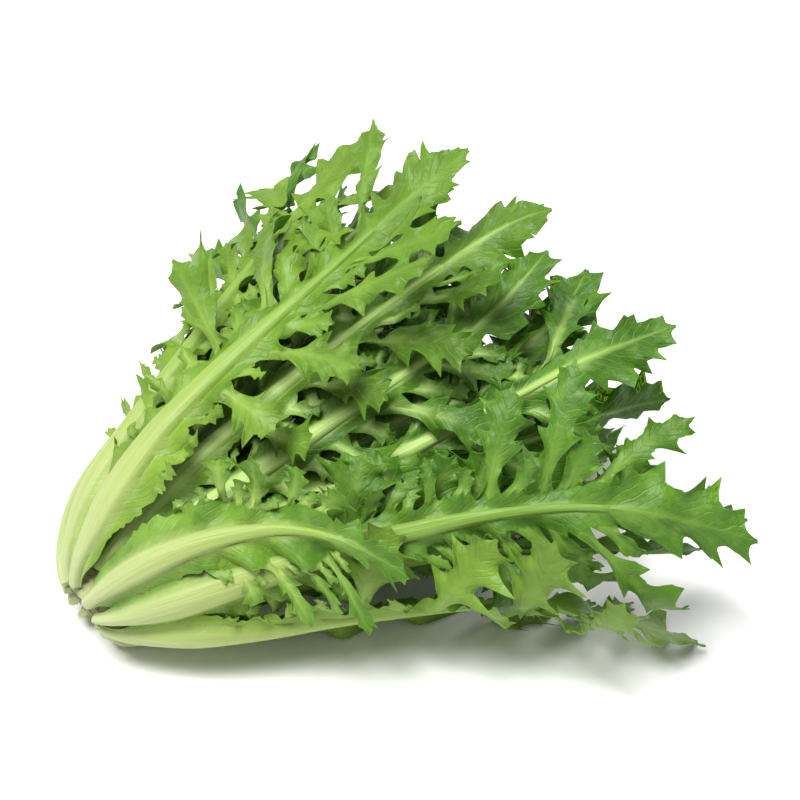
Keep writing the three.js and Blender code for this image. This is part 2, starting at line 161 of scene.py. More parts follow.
# %% [markdown]
# ## The leaves in the head
# Each leaf could be placed by eye; here a short list of values places it. They are the same that
# the solids were made from, so a fine leaf falls exactly on its plain one. Leaves that lie side
# by side are set on different levels, and pass over each other without touching. The level also
# says how far a lobe may curl outward and inward, in millimetres.
#
# `around` is the leaf's angle round the bundle in degrees, and `drift` and `sway` turn it away
# from there towards the tip. `tip_out` lifts the tip, `out_low` and `out_high` curl the lobes of
# its two sides outward, and `foot` is the rib's share of its full width at the root. `sheath`
# widens the wings near the root, and `lace` makes them more spiny and curly. These last two are
# only for the look: the solids do without them.

# %% Leaf list
FREE_CURL = 60
LEVELS = {
    "crest": {"shift": 0.09, "out": FREE_CURL, "in": 2, "dish": 3},
    "top": {"shift": 0.06, "out": FREE_CURL, "in": 3, "dish": 3},
    "middle": {"shift": 0, "out": 3, "in": 2.5, "dish": 1},
    "under": {"shift": -0.06, "out": 2, "in": 3, "dish": -1.5},
    "deep": {"shift": -0.11, "out": 1.5, "in": 4, "dish": -3},
    "sunk": {"shift": -0.15, "out": 1.5, "in": 1.5, "dish": 0},
}
PLAIN_LEAF = {"drift": 0, "sway": 0, "tip_out": 0, "out_low": 0, "out_high": 0, "foot": 0.22,
              "sheath": 1, "lace": 1}
OUTER_LEAVES = [
    {"around": 24, "level": "under", "length": 246, "rib": 14, "out_low": 1.2, "sway": 0.03, "drift": -0.1,
     "lace": 1.8},
    {"around": 55, "level": "middle", "length": 236, "rib": 14.5, "out_low": 0.9, "sway": 0.05, "tip_out": 4,
     "drift": -0.2, "lace": 2.2},
    {"around": 84, "level": "crest", "length": 238, "rib": 16, "sway": -0.05, "foot": 0.3, "tip_out": 5,
     "out_low": 0.5, "sheath": 1.8, "lace": 1.7},
    {"around": 128, "level": "top", "length": 140, "rib": 15.5, "drift": 0.65, "tip_out": 18,
     "out_high": 0.3, "lobe": 20, "lobed_from": 0.5, "foot": 0.36, "sheath": 2.0, "lace": 1.6},
    {"around": 159, "level": "middle", "length": 268, "rib": 14, "drift": 0.22, "sway": 0.03, "foot": 0.26,
     "lobe": 54, "lobes": 6, "lobed_from": 0.6, "lace": 2.4},
    {"around": 174, "level": "sunk", "layer": 0.81, "shift": 0, "start": 25, "length": 252, "rib": 12,
     "lobe": 48, "drift": 0.2, "lobed_from": 0.34},
    {"around": 187, "level": "top", "length": 250, "rib": 18, "drift": 0.1, "tip_out": 24,
     "out_high": 1.6, "foot": 0.24, "lobed_from": 0.37},
    {"around": 234, "level": "sunk", "length": 262, "rib": 14, "lobe": 34},
    {"around": 272, "level": "middle", "length": 262, "rib": 15, "lobe": 36},
    {"around": 308, "level": "sunk", "length": 262, "rib": 14, "lobe": 34},
    {"around": 334, "level": "middle", "length": 258, "rib": 14.5, "lobe": 40, "sway": -0.03},
    {"around": 359, "level": "deep", "length": 250, "rib": 14.5},
]
OUTER_SEEDS = [886, 890, 893, 615, 15, 33, 890, 899, 18, 749, 159, 574]
OUTER_RING = {"layer": OUTER_LAYER, "start": 13.5, "lobe": 50, "lobes": 8, "lobed_from": 0.42}
INNER_LEVELS = {
    "h": {"shift": 0.06, "out": 4, "in": 2.5, "dish": 2},
    "m": {"shift": 0, "out": 2.5, "in": 2.5, "dish": 0},
    "l": {"shift": -0.06, "out": 2.5, "in": 4, "dish": -2},
}
INNER_RINGS = [
    {"ring": "second", "angles": [5, 35, 65, 95, 124, 151, 182, 215, 267, 335], "levels": "hmlhmlhmlm",
     "seeds": [128, 201, 342, 203, 159, 900, 244, 841, 898, 832], "extra": {3: -16, 4: -10, 5: 30},
     "free": {3: 0.8, 5: 0.3},
     "layer": 0.66, "start": 20, "rib": 11, "length": 250, "lobe": 42, "lobes": 8, "lobed_from": 0.38},
    {"ring": "third", "angles": [20, 60, 100, 140, 175, 207, 262, 314, 350], "levels": "hmlhmhlhm",
     "seeds": [809, 327, 598, 770, 304, 371, 32, 450, 828],
     "extra": {2: 15, 3: 4, 4: 26, 5: -14, 8: -8},
     "layer": 0.43, "start": 29, "rib": 9, "length": 236, "lobe": 31, "lobes": 8, "lobed_from": 0.38},
    {"ring": "heart", "angles": [50, 170, 290], "levels": "hml", "seeds": [400, 832, 402], "extra": {},
     "layer": 0.21, "start": 38, "rib": 8, "length": 208, "lobe": 28, "lobes": 5, "lobed_from": 0.38},
]


def outer_leaves():
    leaves = []
    for i, item in enumerate(OUTER_LEAVES):
        leaf = {**PLAIN_LEAF, **OUTER_RING, **LEVELS[item["level"]], **item}
        leaf.update(ring="outer", seed=OUTER_SEEDS[i], name=f"leaf_outer_{i + 1:02d}")
        leaves.append(leaf)
    return leaves


def inner_leaves():
    leaves = []
    for ring in INNER_RINGS:
        for i, around in enumerate(ring["angles"]):
            leaf = {**PLAIN_LEAF, **ring, **INNER_LEVELS[ring["levels"][i]]}
            length = ring["length"] * (1 + 0.08 * math.sin(2.4 * i)) + ring["extra"].get(i, 0)
            free = ring.get("free", {}).get(i, 0)
            leaf.update(around=around, length=length, seed=ring["seeds"][i], out_low=free, out_high=free)
            leaf["name"] = f"leaf_{ring['ring']}_{i + 1:02d}"
            leaves.append(leaf)
    return leaves


LEAVES = outer_leaves() + inner_leaves()
print("leaves:", len(LEAVES))

# %% [markdown]
# ## The midrib and its wings
# A frisee leaf is mostly rib: broad, pale and rounded at the foot, where it is full of water, and
# ever narrower towards the tip. Along both flanks runs a narrow green wing with small sharp
# teeth. Near the root the wings are wider and clasp the neighbouring ribs, so that the bulb is
# closed all round. Rib and wing could be two meshes, but they grow as one, so both widths are
# given as functions of the reach and one strip of points follows them.

# %% Rib and wing sizes
# The lobes end at this share of the leaf's length.
LOBED_TO = 0.83
# Half of the blade's thickness. It thins out to half of that at the margin.
HALF_BLADE = 0.28
# Columns of points, as shares of the rib's half width and of a wing's width.
RIB_COLUMNS = np.array([-1, -0.9, -0.68, -0.36, 0, 0.36, 0.68, 0.9, 1])
WING_COLUMNS = np.array([0.3, 0.68, 1.0])


def rib_width(leaf, reach):
    t = reach / leaf["length"]
    start = leaf["foot"] + (1 - leaf["foot"]) * smooth(reach, 10, 55)
    taper = 1 - 0.32 * smooth(t, 0.2, 0.48) - 0.44 * smooth(t, 0.42, 0.8) - 0.14 * smooth(t, 0.78, 1)
    return leaf["rib"] * start * taper


def rib_depth(leaf, reach):
    return 0.4 + 0.3 * rib_width(leaf, reach) + 1.6 * (1 - smooth(reach, 13, 40))


def wing_width(leaf, reach):
    t = reach / leaf["length"]
    wing = 0.25 + 0.55 * smooth(reach, 15, 40) + 1.2 * smooth(t, 0.1, 0.28) + 1.6 * smooth(t, 0.3, 0.5)
    clasp = 2.4 * leaf["sheath"] * smooth(reach, 16, 34) * (1 - smooth(reach, 90, 140))
    return wing + 2 * smooth(t, 0.55, 0.85) + clasp


def tip_lift(leaf, reach):
    return leaf["tip_out"] * smooth(reach / leaf["length"], 0.6, 1.15) ** 1.3


def half_blade(rim):
    return HALF_BLADE * (1 - 0.5 * rim)


def soft_limit(leaf, lift, reach, extra):
    """Keeps a curl inside the room that the leaf's level leaves it."""
    room = 0.15 + 0.85 * smooth(reach, 90, 170)
    out = FREE_CURL if extra > 0 or leaf["out"] == FREE_CURL else 3 * leaf["out"] * room
    inward = 1.5 * leaf["in"] * room
    return np.where(lift > 0, out * np.tanh(lift / out), -inward * np.tanh(-lift / inward))


print("rib of the leaf on the crest, 60 mm up:", round(float(rib_width(LEAVES[2], 60.0)), 1), "mm")

# %% [markdown]
# ## A leaf as a sheet of grids
# A real leaf is one thin sheet. It could be cut out of a plane by a picture of its outline, but
# then its margin would be jagged and its veins would follow nothing. Instead it is first drawn
# flat and without thickness: a grid for the strip, and a grid for each lobe that grows out of the
# strip's margin and shares its edge points with it. Each point keeps its place (reach and side),
# its lift off the shell, and how thick the leaf is outward and inward there. Four marks are kept
# for the material: how much the point belongs to the rib, how near the margin it lies, and its
# place along and across the nearest vein.

# %% Sheet
FIELDS = ["reach", "side", "lift", "outer", "inner", "rib", "rim", "vein_along", "vein_across"]


class Sheet:
    def __init__(self, leaf):
        self.leaf = leaf
        self.fields = {name: [] for name in FIELDS}
        self.quads = []
        self.count = 0

    def add_grid(self, foot, flip, **fields):
        """Adds a grid of points. foot is the row of points that it grows from, or None."""
        rows, columns = fields["reach"].shape
        for name in FIELDS:
            self.fields[name].append(np.broadcast_to(fields[name], (rows, columns)).ravel())
        grid = self.count + np.arange(rows * columns).reshape(rows, columns)
        self.count += rows * columns
        joined = grid if foot is None else np.concatenate([foot[None, :], grid])
        self.add_quads(joined[:, ::-1] if flip else joined)
        return grid

    def add_quads(self, grid):
        corners = [grid[:-1, :-1], grid[:-1, 1:], grid[1:, 1:], grid[1:, :-1]]
        self.quads.append(np.stack([corner.ravel() for corner in corners], 1))

    def field(self, name):
        return np.concatenate(self.fields[name])


print("values kept for each point of a sheet:", len(FIELDS))

# %% [markdown]
# ## Teeth
# The teeth of frisee point forward and end in a fine spine, with a rounded bay between them. A
# displacement could push a smooth margin in and out, but it would blunt the tips. `toothed` draws
# the margin from a list of turning points, bay and tip by turns. Each is moved to the nearest row
# of the grid, so that no tip is lost between two rows. The curve rises slowly from a bay to the
# tip and falls off at once behind it. `saw` gives an even row of small spines.


# %% Tooth curves
TOOTH_RISE = 1.6
SPINE_TIP = 0.72


def toothed(t, turns):
    """Width of a margin along t. turns: pairs of place and width, with bays and tips by turns."""
    rows = len(t) - 1
    places = [int(round(place * rows)) for place, _ in turns]
    for i in range(1, len(places)):
        places[i] = max(places[i], places[i - 1] + 1)
    places = [min(place, rows) for place in places]
    width = np.zeros(rows + 1)
    for i in range(len(turns) - 1):
        a, b = places[i], places[i + 1]
        if b <= a:
            continue
        f = np.arange(b - a + 1) / (b - a)
        low, high = turns[i][1], turns[i + 1][1]
        bow = f ** TOOTH_RISE if high > low else 1 - (1 - f) ** TOOTH_RISE
        width[a:b + 1] = low + (high - low) * bow
    return width


def saw(x):
    """A row of spines: 0 in each bay, 1 at each tip, with the steep side forward."""
    f = x - np.floor(x)
    return np.where(f < SPINE_TIP, (f / SPINE_TIP) ** TOOTH_RISE, (1 - f) / (1 - SPINE_TIP))


print("a tooth with its tip at 0.6:", toothed(np.linspace(0, 1, 6), [(0, 0), (0.6, 1), (1, 0)]).round(2))

# %% [markdown]
# ## The strip
# The strip runs from the root to the end of the leaf. Its rows stand closer than the spines on
# the wings are long, so each spine gets three or four rows. The rib is thick outward, as a dome,
# and a little inward. The wings are as thin as the blade and ripple more the further they stand
# out. A cloth simulation could make the ripples too, but the sine waves are repeatable and quick.

# %% Strip
# Distance between rows for each ring of leaves: what lies deeper in the head needs fewer points.
ROW_STEP = {"outer": 1.25, "second": 1.6, "third": 2.2, "heart": 2.2}
SPINE_STEP = 4.4


def lobe_segments(leaf, step):
    return max(6, int(round(step / ROW_STEP[leaf["ring"]] / 1.25)))


def strip_rows(leaf, lobed_from, step):
    low_rows = int((lobed_from - leaf["start"]) / ROW_STEP[leaf["ring"]])
    low = leaf["start"] + (lobed_from - leaf["start"]) * np.arange(low_rows) / low_rows
    segments = lobe_segments(leaf, step)
    lobed = lobed_from + np.arange(leaf["lobes"] * segments + 1) * step / segments
    return np.concatenate([low, lobed]), low_rows, segments


def wing_spines(leaf, reach, phase, lobed_from):
    wander = 0.5 * np.sin(reach / 9 + phase) + 0.25 * np.sin(reach / 3.7)
    size = 0.5 + 0.35 * np.sin(reach / 17 + 2 * phase) + 0.15 * np.sin(reach / 5.3 + phase)
    grow = smooth(reach, 26, 60) * (1 - 0.6 * smooth(reach, lobed_from, lobed_from + 40))
    return (0.6 + 2.4 * size) * leaf["lace"] ** 0.5 * grow * saw(reach / SPINE_STEP + phase + wander)


def wing_margins(leaf, reach, phases, lobed_from):
    """Widths of the two wings, uneven and with their spines."""
    widths = []
    for phase in phases:
        uneven = 1 + 0.3 * np.sin(reach / 11 + 4 * phase) + 0.2 * np.sin(reach / 4.3 + phase)
        widths.append(wing_width(leaf, reach) * uneven + wing_spines(leaf, reach, phase, lobed_from))
    return widths


def add_strip(sheet, reach, draws, lobed_from):
    leaf = sheet.leaf
    phases = [draws.between(0, 10), draws.between(0, 10)]
    left, right = (width[:, None] for width in wing_margins(leaf, reach, phases, lobed_from))
    half = rib_width(leaf, reach)[:, None] / 2
    left_wing = -half - left * WING_COLUMNS[::-1]
    right_wing = half + right * WING_COLUMNS
    side = np.concatenate([left_wing, half * RIB_COLUMNS, right_wing], 1)
    reach = np.repeat(reach[:, None], side.shape[1], 1)
    beyond = np.maximum(np.abs(side) - half, 0)
    lean = 0.5 * beyond * smooth(reach, 38, 75)
    share = np.clip(np.abs(side) / half, 0, 1)
    dome = np.sqrt(np.clip(1 - share ** 2, 0, 1)) * rib_depth(leaf, reach)
    phase = np.where(side > 0, phases[0], phases[1])
    ripple = 0.5 * beyond * np.sin(reach / 3.9 + 3 * phase + 1.5 * np.sin(reach / 13))
    ripple = ripple * smooth(reach, 40, 90)
    tuck = -0.28 * beyond * (1 - smooth(reach, 45, 100))
    rim = smooth(beyond / np.where(side > 0, right, left), 0.3, 1)
    return sheet.add_grid(
        None, False, reach=reach + lean, side=side, lift=tip_lift(leaf, reach) + ripple + tuck,
        outer=half_blade(rim) + dome, inner=half_blade(rim) + 0.25 * dome,
        rib=1 - smooth(np.abs(side) / (half + 1), 0.5, 1.2), rim=rim, vein_along=reach, vein_across=side)


print("spines on one wing of a leaf 250 mm long:", round(250 / SPINE_STEP))

# %% [markdown]
# ## Lobes
# A lobe leaves the rib at a slant. It begins as a narrow strap, then flares into a hand with
# sharp fingers. Copies of one modelled lobe would look alike, so each is drawn by seeded draws.
# The strap, first finger, bay and second finger come from the same draws as the solid's facets;
# the finer fingers towards the tip are added here.


# %% Lobe plan
def draw_toothing(draws):
    """Where the bays and fingers of one side of a lobe lie, and how wide it is there."""
    return {
        "neck": (0.22, draws.between(0.28, 0.4)),
        "first": (draws.between(0.36, 0.46), draws.between(0.68, 0.95)),
        "notch": (0.52, draws.between(0.5, 0.68)),
        "second": (draws.between(0.62, 0.72), draws.between(0.8, 1.15)),
    }


def plan_lobes(leaf):
    draws = Draws(leaf["seed"])
    lobed_from = leaf["lobed_from"] * leaf["length"]
    step = (LOBED_TO * leaf["length"] - lobed_from) / leaf["lobes"]
    common = draws.between(-16, 16)
    lobes = []
    for k in range(leaf["lobes"]):
        side = 1 if k % 2 == 0 else -1
        t = (k + 0.5) / leaf["lobes"]
        grow = smooth(t, -0.2, 0.4) * (1 - 0.3 * smooth(t, 0.6, 1.1))
        length = leaf["lobe"] * (0.28 + 0.82 * grow) * draws.between(0.8, 1.2)
        lean = math.radians(72 - 34 * t + draws.between(-8, 8))
        bend = math.radians(common + draws.between(-18, 18))
        curl = draws.between(-1, 1) + (leaf["out_high"] if side > 0 else leaf["out_low"])
        half_width = min(draws.between(0.26, 0.38) * length, 1.05 * step * math.sin(lean))
        twist = draws.between(-0.5, 0.5)
        wave = draws.between(0, 6.28)
        toothing = [draw_toothing(draws), draw_toothing(draws)]
        lobes.append({"k": k, "side": side, "length": length, "lean": lean, "bend": bend, "curl": curl,
                      "half_width": half_width, "twist": twist, "wave": wave, "toothing": toothing})
    return {"from": lobed_from, "step": step, "lobes": lobes,
            "end_bend": draws.between(-0.7, 0.7), "end_twist": draws.between(-0.2, 0.2),
            "end_curl": draws.between(-0.5, 1)}


def lobe_turns(toothing, draws):
    """Bays and tips of one side of a lobe, from its foot to its point."""
    neck, first, notch, second = (toothing[name] for name in ("neck", "first", "notch", "second"))
    bay = second[0] + 0.06
    return [
        (0, 0.62), (neck[0] - 0.08, 0.8 * neck[1]), (neck[0] + 0.02, 0.8 * neck[1]),
        (first[0], 1.12 * first[1]), (first[0] + 0.04, 0.8 * notch[1]), (notch[0] + 0.01, 0.8 * notch[1]),
        (second[0], 1.12 * second[1]), (bay - 0.02, 0.6 * second[1]), (bay + 0.02, 0.5 * second[1]),
        (0.86, draws.between(0.45, 0.7)), (0.9, 0.25), (1, 0.04),
    ]


print("lobes of the first leaf:", [round(lobe["length"]) for lobe in plan_lobes(LEAVES[0])["lobes"]])

# %% [markdown]
# ## The shape of a lobe
# A lobe's grid follows a bent middle line. Its two sides lean forward, so that the fingers point
# to the tip, and carry small spines. Then it leaves the shell: it curls, twists, waves, flicks
# its tip and cups its hand, as tissue does that grows faster at its margin than in its middle.
# Blender's modifiers could bend it as well, but only the whole lobe alike. These formulas bend
# every lobe in its own way, and `soft_limit` keeps each inside the room of its level.

# %% Lobe shape
# Length of a small spine and height of a pucker, in millimetres.
FINE_SPINE = 0.8
PUCKER = 0.22
# Heights of the waves and frills, as shares of the distance from the midvein.
WAVE = 0.24
FRILL = 0.34
# How far a tip flicks, as a share of the lobe's length, which counts up to FLICK_REACH
# millimetres, and how far its sides cup, as a share of its half width.
FLICK = 0.2
FLICK_REACH = 30
CUP = 0.25


def lobe_path(lobe, t):
    """Middle line of a lobe, as distances along the leaf and across it, and the lean there."""
    lean = lobe["lean"] + lobe["bend"] * t
    ahead = np.cos(lean)
    out = np.sin(lean)
    scale = lobe["length"] / (len(t) - 1)
    along = np.concatenate([[0], np.cumsum((ahead[1:] + ahead[:-1]) / 2)]) * scale
    across = np.concatenate([[0], np.cumsum((out[1:] + out[:-1]) / 2)]) * scale
    return along, lobe["side"] * across, lean


def lobe_places(lobe, t, across, widths):
    """Flat places of a lobe's grid. across runs from -1, the root side, to 1, the tip side."""
    along, out, lean = lobe_path(lobe, t)
    offset = across[None, :] * lobe["half_width"] * widths
    broad = 0.35 * np.abs(offset) * (smooth(t, 0, 0.4) * (1 - smooth(t, 0.85, 1)))[:, None]
    hook = 0.22 * np.abs(offset) * (across[None, :] ** 2) * smooth(t, 0.2, 0.4)[:, None]
    sweep = broad + hook
    reach = along[:, None] + np.sin(lean)[:, None] * offset + np.cos(lean)[:, None] * sweep
    side = out[:, None] + lobe["side"] * (-np.cos(lean)[:, None] * offset + np.sin(lean)[:, None] * sweep)
    return reach, side, offset


def lobe_widths(lobe, t, across, turns):
    low = toothed(t, turns[0])
    high = toothed(t, turns[1])
    spines = FINE_SPINE / lobe["half_width"] * smooth(t, 0.12, 0.3) * (1 - smooth(t, 0.9, 1))
    rows = np.arange(len(t))
    size = 0.55 + 0.45 * np.sin(rows * 0.9 + lobe["wave"])
    low = low + spines * size * saw(rows / 3 + 0.1)
    high = high + spines * (1.1 - size) * saw(rows / 3 + 0.45)
    return np.where(across[None, :] < 0, low[:, None], high[:, None])


def lobe_curl(lobe, t, across, offset):
    """How far the lobe leaves its shell before the room of its level is taken into account."""
    curl = 1.3 * lobe["curl"] * lobe["length"] * 0.36 * t ** 1.7
    twist = 1.5 * lobe["twist"] * offset * smooth(t, 0.05, 0.6)
    wave = WAVE * np.abs(offset) * np.sin(9 * t + lobe["wave"] + np.where(across > 0, 1.7, 0))
    flick = FLICK * min(lobe["length"], FLICK_REACH) * (math.sin(1.7 * lobe["wave"]) - 0.8)
    cup = CUP * lobe["half_width"] * across ** 2 * math.sin(2.9 * lobe["wave"])
    return curl + twist + wave + flick * smooth(t, 0.55, 1) ** 2 + cup * smooth(t, 0.1, 0.4)


def lobe_frill(lobe, t, across, offset, reach):
    frill = FRILL * np.abs(offset) * across ** 2 * np.sin(23 * t + 2 * lobe["wave"] + 2 * across)
    pucker = np.sin(reach / 1.5 + lobe["wave"]) * np.sin(offset / 1.2 + 2 * np.sin(reach / 4))
    return frill + PUCKER * pucker * smooth(np.abs(across), 0.05, 0.4)


def lobe_lift(leaf, lobe, t, across, offset, reach):
    t = t[:, None]
    across = across[None, :]
    dish = leaf["dish"] * smooth(t * lobe["length"], 2, 20)
    extra = leaf["out_high"] if lobe["side"] > 0 else leaf["out_low"]
    curled = soft_limit(leaf, lobe_curl(lobe, t, across, offset), reach, extra)
    return curled + lobe_frill(lobe, t, across, offset, reach) + dish + tip_lift(leaf, reach)


def vein_mark(offset, t):
    """A midvein: as broad as the strap at the lobe's foot and a fine line near its tip."""
    t = t[:, None]
    half_width = 0.5 + 2.4 * (1 - t) ** 2
    return np.exp(-(offset / half_width) ** 2) * (1 - t) ** 0.6


upright, _, _ = lobe_path({"lean": 0, "bend": 0, "length": 30, "side": 1}, np.linspace(0, 1, 12))
print("a straight lobe 30 mm long reaches", round(float(upright[-1]), 1), "mm")

# %% [markdown]
# ## Growing a lobe out of the margin
# A lobe that merely stuck into the strip would show a seam. So its first row is the margin's own
# row of points, and the rows after it flow from there into the lobe's shape. `grow_lobe` does
# this for everything that grows out of a margin: lobes, lobules, tongues and the leaf's end.

# %% Lobe grid
# How far up the lobe the flow goes, the width and height of the crest over its midvein, how pale
# that vein is, and where the vein's own measure starts.
LOBE_GROWTH = {"flow": 0.3, "crest_width": 0.12, "crest_height": 0.55, "paleness": 0.9, "vein_from": 0}


def grow_lobe(sheet, leaf, lobe, foot, rows, across, turns):
    """Adds a grid that grows out of foot, the points of a margin."""
    t = np.linspace(0, 1, rows + 1)
    flow = (1 - smooth(t, 0, lobe["flow"]))[:, None]
    reach, side, offset = lobe_places(lobe, t, across, lobe_widths(lobe, t, across, turns))
    reach += lobe["start"][0]
    side += lobe["start"][1]
    reach += (sheet.field("reach")[foot] - reach[0]) * flow
    side += (sheet.field("side")[foot] - side[0]) * flow
    lift = lobe_lift(leaf, lobe, t, across, offset, reach)
    lift += (sheet.field("lift")[foot] - lift[0]) * flow
    rim = smooth(np.abs(across), 0.55, 1) + 0 * reach
    crest = lobe["crest_height"] * np.exp(-(across / lobe["crest_width"]) ** 2) * (1 - t[:, None])
    fields = {
        "reach": reach, "side": side, "lift": lift, "outer": half_blade(rim) + crest,
        "inner": half_blade(rim), "rib": lobe["paleness"] * vein_mark(offset, t), "rim": rim,
        "vein_along": lobe["vein_from"] + t[:, None] * lobe["length"] + 0 * reach, "vein_across": offset,
    }
    sheet.add_grid(foot, lobe["flip"], **{name: values[1:] for name, values in fields.items()})


def add_lobe(sheet, lobe, foot, rows, turns):
    """foot: the margin points that the lobe grows from, in order from the root side."""
    across = np.linspace(-1, 1, len(foot))
    across = np.sign(across) * np.abs(across) ** 0.85
    start = (sheet.field("reach")[foot].mean(), sheet.field("side")[foot].mean())
    lobe = {**LOBE_GROWTH, "start": start, "flip": lobe["side"] > 0, **lobe}
    grow_lobe(sheet, sheet.leaf, lobe, foot, rows, across, turns)


def rows_along(leaf, length, least):
    return max(least, int(length / ROW_STEP[leaf["ring"]]))


print("rows in a lobe 40 mm long of an outer leaf:", rows_along(LEAVES[0], 40, 12))

# %% [markdown]
# ## Lobules
# Lobes stand by turns on the two sides. Opposite each of them the wing carries a lobule, a short
# spiny tongue. It is drawn as a small lobe with one finger, which needs no new tool.


# %% Lobules
def plan_lobule(lobe, draws):
    length = max(5, lobe["length"] * draws.between(0.28, 0.5))
    tip = draws.between(0.5, 0.62)
    finger = draws.between(0.8, 1.1)
    ahead = [(tip + 0.1, 0.4), (0.84, 0.6), (0.9, 0.2), (1, 0.04)]
    lobule = {
        "side": -lobe["side"], "length": length, "lean": lobe["lean"] + draws.between(-0.15, 0.15),
        "bend": draws.between(-0.5, 0.3), "curl": draws.between(-0.6, 1.4),
        "twist": draws.between(-0.4, 0.4), "wave": draws.between(0, 6.28),
        "half_width": max(2.2, draws.between(0.22, 0.32) * length),
    }
    strap = [(0, 0.7), (0.2, 0.5)]
    return lobule, [[*strap, (tip, finger), *ahead], [*strap, (tip - 0.08, 0.9), *ahead]]


lobule, _ = plan_lobule({"side": 1, "length": 40, "lean": 1}, Draws(5))
print("length of a lobule opposite a 40 mm lobe:", round(lobule["length"]))

# %% [markdown]
# ## The end of the leaf
# The strip's last row carries on as a broad end with five fingers on each side. It is a lobe
# without a slant. Its turning points are moved a little by draws on each side, because an end
# with two like sides looks stamped out.

# %% End of the leaf
END_WIDTH = 0.34
END_DRAWS = 6000
END_TURNS = [
    (0, 0.5), (0.08, 0.5), (0.2, 0.9), (0.23, 0.72), (0.32, 1.12), (0.35, 0.8), (0.43, 0.6), (0.52, 0.86),
    (0.55, 0.72), (0.62, 1.0), (0.65, 0.6), (0.73, 0.45), (0.86, 0.5), (0.9, 0.25), (1, 0.04),
]


def uneven_turns(turns, draws):
    inner = []
    for place, width in turns[1:-1]:
        inner.append((place + draws.between(-0.012, 0.012), width * draws.between(0.8, 1.15)))
    return [turns[0], *inner, turns[-1]]


def add_end(sheet, plan, foot):
    leaf = sheet.leaf
    draws = Draws(leaf["seed"] + END_DRAWS)
    reach_from = LOBED_TO * leaf["length"]
    length = leaf["length"] - reach_from + 0.2 * leaf["lobe"]
    end = {
        "side": 1, "length": length, "lean": 0, "bend": plan["end_bend"], "half_width": END_WIDTH * length,
        "curl": plan["end_curl"], "twist": plan["end_twist"], "wave": 1.0, "flow": 0.18,
        "crest_width": 0.14, "crest_height": 1, "paleness": 0.95, "vein_from": reach_from,
        "start": (reach_from, 0), "flip": False,
    }
    foot_side = sheet.field("side")[foot]
    across = -foot_side / np.abs(foot_side).max()
    across = np.sign(across) * np.abs(across) ** 0.8
    turns = [uneven_turns(END_TURNS, draws), uneven_turns(END_TURNS, draws)]
    flat_leaf = {**leaf, "dish": 0, "out_high": 0}
    grow_lobe(sheet, flat_leaf, end, foot, rows_along(leaf, length, 1), across, turns)


print("turning points of the end:", len(uneven_turns(END_TURNS, Draws(5))))

# %% [markdown]
# ## Tongues along the wings
# Below the first lobe a real wing isn't bare: small pale tongues stand and curl along it, and
# they fill the gaps between the ribs. The solids leave them out, as they are too small for
# facets. Here each is a tiny lobe that grows out of five millimetres of the wing's margin.

# %% Wing lobules
WING_LOBULES_FROM = 58
WING_LOBULE_FOOT = 5
WING_LOBULE_DRAWS = 7000
WING_LOBULE_TURNS = [(0, 0.9), (0.3, 0.6), (0.5, 1.0), (0.6, 0.5), (0.75, 0.75), (0.85, 0.3), (1, 0.04)]


def plan_wing_lobule(leaf, side, reach, draws):
    grow = smooth(reach, WING_LOBULES_FROM, WING_LOBULES_FROM + 60)
    return {
        "side": side, "length": draws.between(4, 7) + draws.between(2, 9) * grow * leaf["lace"],
        "lean": math.radians(draws.between(35, 75)), "bend": draws.between(-0.9, 0.5),
        "curl": draws.between(-1.5, 2.5), "twist": draws.between(-0.9, 0.9),
        "wave": draws.between(0, 6.28), "half_width": draws.between(1.7, 2.6) * leaf["lace"] ** 0.4,
        "paleness": 0.35,
    }


def add_wing_lobules(sheet, strip, reach, low_rows):
    leaf = sheet.leaf
    row_step = ROW_STEP[leaf["ring"]]
    draws = Draws(leaf["seed"] + WING_LOBULE_DRAWS)
    foot_rows = max(3, round(WING_LOBULE_FOOT / row_step))
    for side, column in ((1, -1), (-1, 0)):
        row = int(np.searchsorted(reach, WING_LOBULES_FROM + draws.between(0, 12)))
        while row + foot_rows < low_rows:
            lobule = plan_wing_lobule(leaf, side, reach[row], draws)
            rows = rows_along(leaf, lobule["length"], 6)
            foot = strip[row:row + foot_rows + 1, column]
            add_lobe(sheet, lobule, foot, rows, [WING_LOBULE_TURNS, WING_LOBULE_TURNS])
            row += foot_rows + int(draws.between(0.5, 8) / row_step)


print("margin rows that a tongue on an outer leaf grows from:", round(WING_LOBULE_FOOT / ROW_STEP["outer"]))

# %% [markdown]
# ## The whole sheet
# The strip is laid first, then the lobes and lobules on its margins, then the tongues, then the
# end. Each part takes its own draws, so a change to one of them leaves the others as they were.

# %% Leaf sheet
STRIP_DRAWS = 5000


def leaf_sheet(leaf):
    sheet = Sheet(leaf)
    plan = plan_lobes(leaf)
    draws = Draws(leaf["seed"] + STRIP_DRAWS)
    reach, low_rows, segments = strip_rows(leaf, plan["from"], plan["step"])
    strip = add_strip(sheet, reach, draws, plan["from"])
    for lobe in plan["lobes"]:
        first = low_rows + lobe["k"] * segments
        margins = {1: strip[first:first + segments + 1, -1], -1: strip[first:first + segments + 1, 0]}
        turns = [lobe_turns(toothing, draws) for toothing in lobe["toothing"]]
        add_lobe(sheet, lobe, margins[lobe["side"]], rows_along(leaf, lobe["length"], 12), turns)
        lobule, turns = plan_lobule(lobe, draws)
        add_lobe(sheet, lobule, margins[lobule["side"]], rows_along(leaf, lobule["length"], 8), turns)
    add_wing_lobules(sheet, strip, reach, low_rows)
    add_end(sheet, plan, strip[-1])
    return sheet


print("points in one sheet:", leaf_sheet(LEAVES[0]).count)

